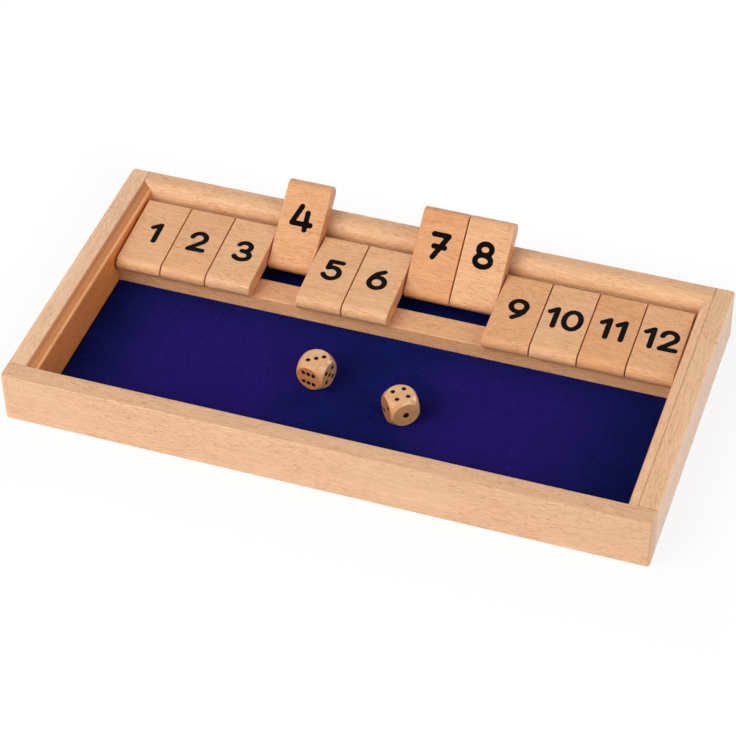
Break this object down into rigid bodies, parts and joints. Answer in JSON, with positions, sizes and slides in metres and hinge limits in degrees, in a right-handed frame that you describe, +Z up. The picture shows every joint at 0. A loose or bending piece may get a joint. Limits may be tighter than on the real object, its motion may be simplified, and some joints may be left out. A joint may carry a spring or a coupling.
{
  "type": "shut the box game",
  "caption": "Shallow wooden case with a felt dice tray, a row of numbered flip tiles that turn on a rod along the back, and loose dice.",
  "frame": {"origin": "middle of the case's underside, which rests on the table", "axes": "+X to the players' right along the row of tiles, +Y to the back where the tiles are, +Z up"},
  "size_m": [0.345, 0.1826, 0.0459],
  "materials": {
    "beech_case": "lacquered beech, satin",
    "beech_tile": "lacquered beech, satin",
    "base_board": "plain plywood",
    "navy_felt": "short felt",
    "rod_steel": "drawn rod",
    "beech_die": "polished beech",
    "black_print": "printed numerals and painted pips"
  },
  "bodies": {
    "case": {"front_rail": "beech_case", "back_rail": "beech_case", "left_rail": "beech_case", "right_rail": "beech_case", "left_strip": "beech_case", "right_strip": "beech_case", "base_panel": "base_board", "felt": "navy_felt", "tile_rest": "beech_case", "axle_rod": "rod_steel"},
    "tile_1": {"tile_1": "beech_tile"},
    "tile_2": {"tile_2": "beech_tile"},
    "tile_3": {"tile_3": "beech_tile"},
    "tile_4": {"tile_4": "beech_tile"},
    "tile_5": {"tile_5": "beech_tile"},
    "tile_6": {"tile_6": "beech_tile"},
    "tile_7": {"tile_7": "beech_tile"},
    "tile_8": {"tile_8": "beech_tile"},
    "tile_9": {"tile_9": "beech_tile"},
    "tile_10": {"tile_10": "beech_tile"},
    "tile_11": {"tile_11": "beech_tile"},
    "tile_12": {"tile_12": "beech_tile"},
    "die_1": {"die_1": "beech_die"},
    "die_2": {"die_2": "beech_die"}
  },
  "joints": [
    {"name": "tile_1_hinge", "type": "hinge", "parent": "case", "child": "tile_1", "pos_m": [-0.143, 0.06092, 0.02], "axis": [-1, 0, 0], "range_deg": [0, 146.34]},
    {"name": "tile_2_hinge", "type": "hinge", "parent": "case", "child": "tile_2", "pos_m": [-0.117, 0.06092, 0.02], "axis": [-1, 0, 0], "range_deg": [0, 146.34]},
    {"name": "tile_3_hinge", "type": "hinge", "parent": "case", "child": "tile_3", "pos_m": [-0.091, 0.06092, 0.02], "axis": [-1, 0, 0], "range_deg": [0, 146.34]},
    {"name": "tile_4_hinge", "type": "hinge", "parent": "case", "child": "tile_4", "pos_m": [-0.065, 0.06092, 0.02], "axis": [-1, 0, 0], "range_deg": [-146.34, 0]},
    {"name": "tile_5_hinge", "type": "hinge", "parent": "case", "child": "tile_5", "pos_m": [-0.039, 0.06092, 0.02], "axis": [-1, 0, 0], "range_deg": [0, 146.34]},
    {"name": "tile_6_hinge", "type": "hinge", "parent": "case", "child": "tile_6", "pos_m": [-0.013, 0.06092, 0.02], "axis": [-1, 0, 0], "range_deg": [0, 146.34]},
    {"name": "tile_7_hinge", "type": "hinge", "parent": "case", "child": "tile_7", "pos_m": [0.013, 0.06092, 0.02], "axis": [-1, 0, 0], "range_deg": [-146.34, 0]},
    {"name": "tile_8_hinge", "type": "hinge", "parent": "case", "child": "tile_8", "pos_m": [0.039, 0.06092, 0.02], "axis": [-1, 0, 0], "range_deg": [-146.34, 0]},
    {"name": "tile_9_hinge", "type": "hinge", "parent": "case", "child": "tile_9", "pos_m": [0.065, 0.06092, 0.02], "axis": [-1, 0, 0], "range_deg": [0, 146.34]},
    {"name": "tile_10_hinge", "type": "hinge", "parent": "case", "child": "tile_10", "pos_m": [0.091, 0.06092, 0.02], "axis": [-1, 0, 0], "range_deg": [0, 146.34]},
    {"name": "tile_11_hinge", "type": "hinge", "parent": "case", "child": "tile_11", "pos_m": [0.117, 0.06092, 0.02], "axis": [-1, 0, 0], "range_deg": [0, 146.34]},
    {"name": "tile_12_hinge", "type": "hinge", "parent": "case", "child": "tile_12", "pos_m": [0.143, 0.06092, 0.02], "axis": [-1, 0, 0], "range_deg": [0, 146.34]},
    {"name": "die_1_lift", "type": "slide", "parent": "case", "child": "die_1", "axis": [0, 0, 1], "range_m": [0, 0.06]},
    {"name": "die_2_lift", "type": "slide", "parent": "case", "child": "die_2", "axis": [0, 0, 1], "range_m": [0, 0.06]}
  ]
}
